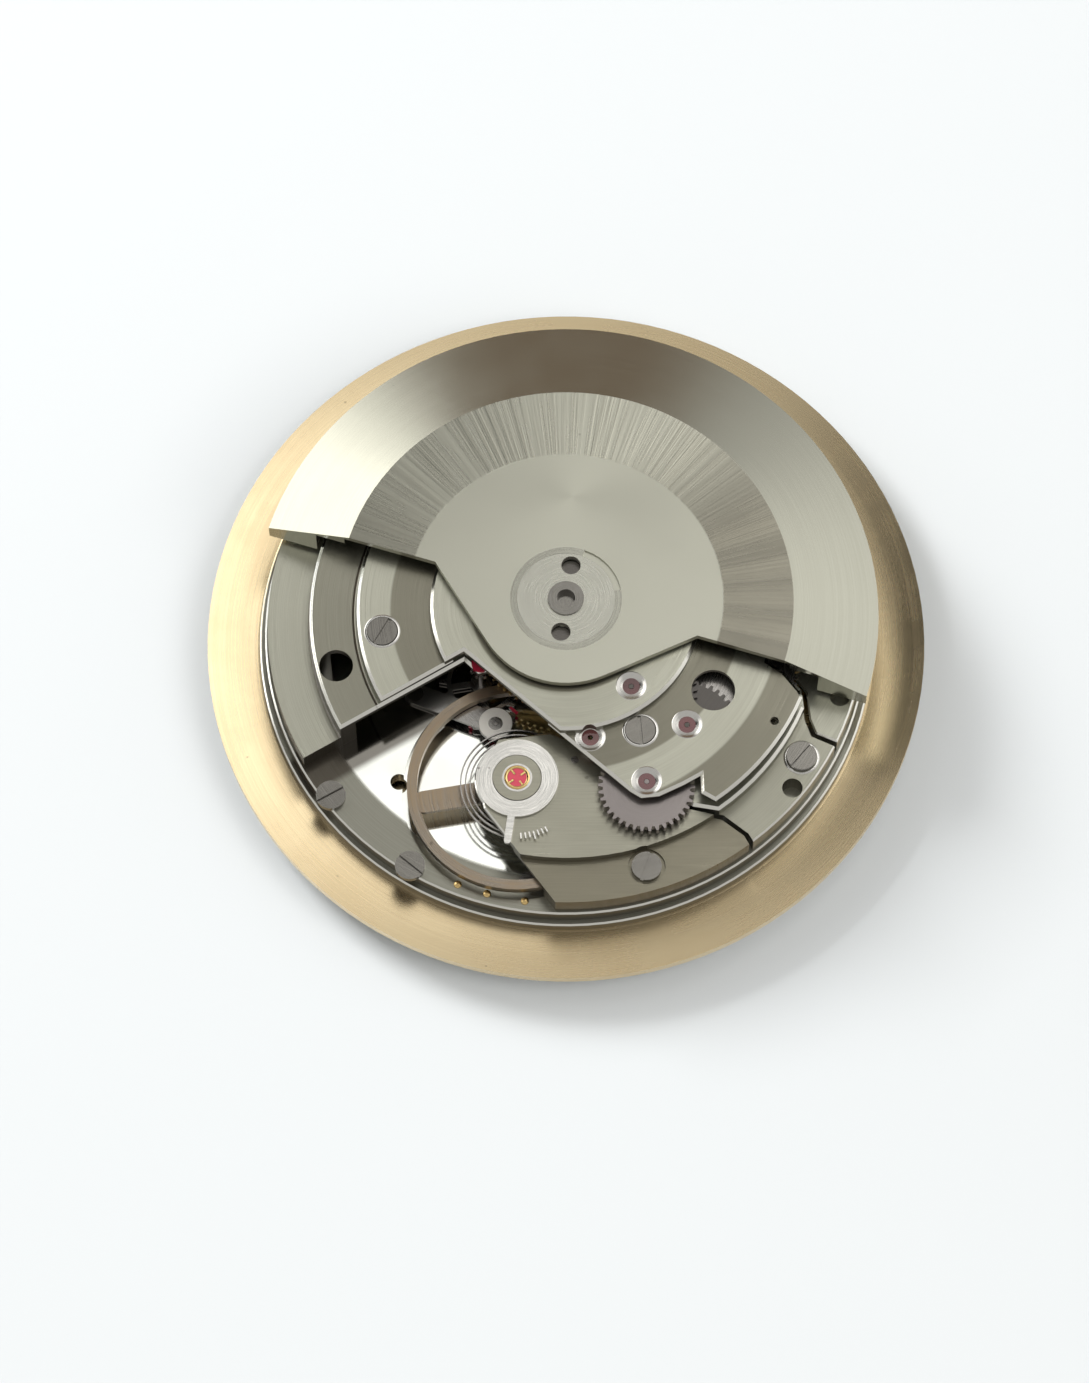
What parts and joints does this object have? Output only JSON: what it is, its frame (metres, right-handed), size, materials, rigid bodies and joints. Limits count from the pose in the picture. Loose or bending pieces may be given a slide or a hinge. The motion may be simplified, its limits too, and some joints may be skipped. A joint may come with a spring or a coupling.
{
  "type": "mechanical watch movement",
  "caption": "Round self-winding mechanical watch movement with dial, half-disc rotor on top, bridges, gear train, barrel, lever escapement and balance.",
  "frame": {"origin": "on the centre line of the movement, level with the tip of the seconds hand post, the lowest point", "axes": "+Z from the dial to the rotor; +Y towards the middle of the rotor as pictured"},
  "size_m": [0.03, 0.03, 0.0061],
  "materials": {
    "gilt": "gilded, fine satin",
    "nickel": "nickel plated, fine brushed",
    "rotor_nickel": "nickel plated, sunray brushed",
    "steel": "polished steel",
    "brass": "polished brass",
    "balance_alloy": "polished alloy",
    "ruby": "polished synthetic ruby",
    "screw_steel": "polished steel"
  },
  "bodies": {
    "movement": {"dial": "gilt", "dial_feet": "steel", "main_plate": "nickel", "plate_jewels": "ruby", "keyless_cover": "steel", "keyless_screws": "screw_steel", "yoke_spring": "steel", "barrel_bridge": "nickel", "side_plate": "nickel", "click_spring": "steel", "train_bridge": "nickel", "train_jewels": "ruby", "pallet_bridge": "nickel", "balance_cock": "nickel", "shock_setting": "steel", "shock_jewel": "ruby", "hairspring_stud": "steel", "hairspring": "steel", "auto_bridge": "nickel", "auto_jewels": "ruby", "auto_screws": "screw_steel", "bridge_screws": "screw_steel", "rotor_bearing": "steel"},
    "rotor": {"rotor_weight": "rotor_nickel", "rotor_hub": "rotor_nickel", "rotor_clip": "steel", "rotor_screw": "screw_steel"},
    "first_reverser": {"first_reverser": "steel"},
    "second_reverser": {"second_reverser": "steel"},
    "reduction_wheel": {"reduction_wheel": "steel"},
    "winding_arbor": {"barrel_arbor": "steel", "ratchet_wheel": "steel", "ratchet_screw": "screw_steel"},
    "crown_wheel": {"crown_wheel": "steel"},
    "winding_pinion": {"winding_pinion": "steel"},
    "barrel": {"barrel_drum": "brass", "barrel_cover": "brass", "mainspring": "steel"},
    "centre": {"centre_wheel": "brass", "centre_arbor": "steel", "cannon_pinion": "steel"},
    "third": {"third_wheel": "brass", "third_arbor": "steel"},
    "fourth": {"fourth_wheel": "brass", "fourth_arbor": "steel"},
    "escape": {"escape_wheel": "steel", "escape_arbor": "steel"},
    "pallet": {"pallet_fork": "steel", "pallet_stones": "ruby"},
    "balance": {"balance_wheel": "balance_alloy", "balance_staff": "steel", "roller_jewel": "ruby"},
    "hour_wheel": {"hour_wheel": "brass"},
    "minute_wheel": {"minute_wheel": "brass"},
    "setting_wheel": {"setting_wheel": "steel"},
    "setting_lever": {"setting_lever": "steel"},
    "yoke": {"yoke": "steel"},
    "sliding_pinion": {"sliding_pinion": "steel"},
    "click": {"click": "steel"},
    "regulator": {"regulator": "steel"}
  },
  "joints": [
    {"name": "rotor_turn", "type": "hinge", "parent": "movement", "child": "rotor", "pos_m": [0, 0, 0.00585], "axis": [0, 0, 1], "continuous": true},
    {"name": "first_reverser_turn", "type": "hinge", "parent": "movement", "child": "first_reverser", "pos_m": [0.00268, -0.00368, 0.00485], "axis": [0, 0, 1], "continuous": true},
    {"name": "second_reverser_turn", "type": "hinge", "parent": "movement", "child": "second_reverser", "pos_m": [0.00497, -0.0052, 0.00465], "axis": [0, 0, 1], "continuous": true},
    {"name": "reduction_turn", "type": "hinge", "parent": "movement", "child": "reduction_wheel", "pos_m": [0.0033, -0.00769, 0.00435], "axis": [0, 0, 1], "continuous": true},
    {"name": "winding_arbor_turn", "type": "hinge", "parent": "movement", "child": "winding_arbor", "pos_m": [0.0054, -0.00197, 0.00425], "axis": [0, 0, 1], "continuous": true},
    {"name": "crown_wheel_turn", "type": "hinge", "parent": "movement", "child": "crown_wheel", "pos_m": [0.00568, 0.00413, 0.00415], "axis": [0, 0, 1], "continuous": true},
    {"name": "winding_pinion_turn", "type": "hinge", "parent": "movement", "child": "winding_pinion", "pos_m": [0.00728, 0.00529, 0.00265], "axis": [0.809, 0.5878, 0], "continuous": true},
    {"name": "fourth_turn", "type": "hinge", "parent": "movement", "child": "fourth", "pos_m": [0, 0, 0.00395], "axis": [0, 0, 1], "continuous": true},
    {"name": "third_turn", "type": "hinge", "parent": "movement", "child": "third", "pos_m": [-0.00218, 0.00378, 0.00365], "axis": [0, 0, 1], "continuous": true},
    {"name": "centre_turn", "type": "hinge", "parent": "movement", "child": "centre", "pos_m": [0, 0, 0.00335], "axis": [0, 0, 1], "continuous": true},
    {"name": "barrel_turn", "type": "hinge", "parent": "movement", "child": "barrel", "pos_m": [0.0054, -0.00197, 0.00265], "axis": [0, 0, 1], "continuous": true},
    {"name": "escape_turn", "type": "hinge", "parent": "movement", "child": "escape", "pos_m": [-0.00352, -0.00227, 0.00241], "axis": [0, 0, 1], "continuous": true},
    {"name": "hour_turn", "type": "hinge", "parent": "movement", "child": "hour_wheel", "pos_m": [0, 0, 0.0015], "axis": [0, 0, 1], "continuous": true},
    {"name": "minute_turn", "type": "hinge", "parent": "movement", "child": "minute_wheel", "pos_m": [0.00233, 0.00169, 0.00165], "axis": [0, 0, 1], "continuous": true},
    {"name": "setting_wheel_turn", "type": "hinge", "parent": "movement", "child": "setting_wheel", "pos_m": [0.00485, 0.00353, 0.00165], "axis": [0, 0, 1], "continuous": true},
    {"name": "pallet_rock", "type": "hinge", "parent": "movement", "child": "pallet", "pos_m": [-0.00291, -0.00423, 0.00241], "axis": [0, 0, 1], "range_deg": [-5, 5]},
    {"name": "balance_swing", "type": "hinge", "parent": "movement", "child": "balance", "pos_m": [-0.002, -0.00718, 0.00305], "axis": [0, 0, 1], "range_deg": [-280, 280]},
    {"name": "setting_lever_turn", "type": "hinge", "parent": "movement", "child": "setting_lever", "pos_m": [0.00711, 0.00782, 0.00155], "axis": [0, 0, 1], "range_deg": [0, 8.1]},
    {"name": "yoke_turn", "type": "hinge", "parent": "movement", "child": "yoke", "pos_m": [0.00946, 0.00323, 0.00155], "axis": [0, 0, 1], "range_deg": [0, 6]},
    {"name": "sliding_pinion_slide", "type": "slide", "parent": "movement", "child": "sliding_pinion", "axis": [0.809, 0.5878, 0], "range_m": [-0.0003, 0]},
    {"name": "click_lift", "type": "hinge", "parent": "movement", "child": "click", "pos_m": [0.00767, 0.00229, 0.00425], "axis": [0, 0, 1], "range_deg": [0, 6]},
    {"name": "regulator_turn", "type": "hinge", "parent": "movement", "child": "regulator", "pos_m": [-0.002, -0.00718, 0.00405], "axis": [0, 0, 1], "range_deg": [-12, 12]}
  ],
  "couplings": [
    {"joint": "first_reverser_turn", "follows": "rotor_turn", "ratio": -0.71698},
    {"joint": "second_reverser_turn", "follows": "rotor_turn", "ratio": 0.24482},
    {"joint": "reduction_turn", "follows": "rotor_turn", "ratio": -0.14174},
    {"joint": "winding_arbor_turn", "follows": "rotor_turn", "ratio": 0.06412},
    {"joint": "crown_wheel_turn", "follows": "rotor_turn", "ratio": -0.14174},
    {"joint": "winding_pinion_turn", "follows": "rotor_turn", "ratio": 0.33663},
    {"joint": "third_turn", "follows": "fourth_turn", "ratio": -0.13333},
    {"joint": "centre_turn", "follows": "fourth_turn", "ratio": 0.016667},
    {"joint": "barrel_turn", "follows": "fourth_turn", "ratio": -0.0025},
    {"joint": "escape_turn", "follows": "fourth_turn", "ratio": -10},
    {"joint": "hour_turn", "follows": "fourth_turn", "ratio": 0.0013889},
    {"joint": "minute_turn", "follows": "fourth_turn", "ratio": -0.0055556},
    {"joint": "setting_wheel_turn", "follows": "fourth_turn", "ratio": 0.0125},
    {"joint": "yoke_turn", "follows": "sliding_pinion_slide", "rad_per_m": -338.98},
    {"joint": "setting_lever_turn", "follows": "sliding_pinion_slide", "rad_per_m": -465.42}
  ]
}
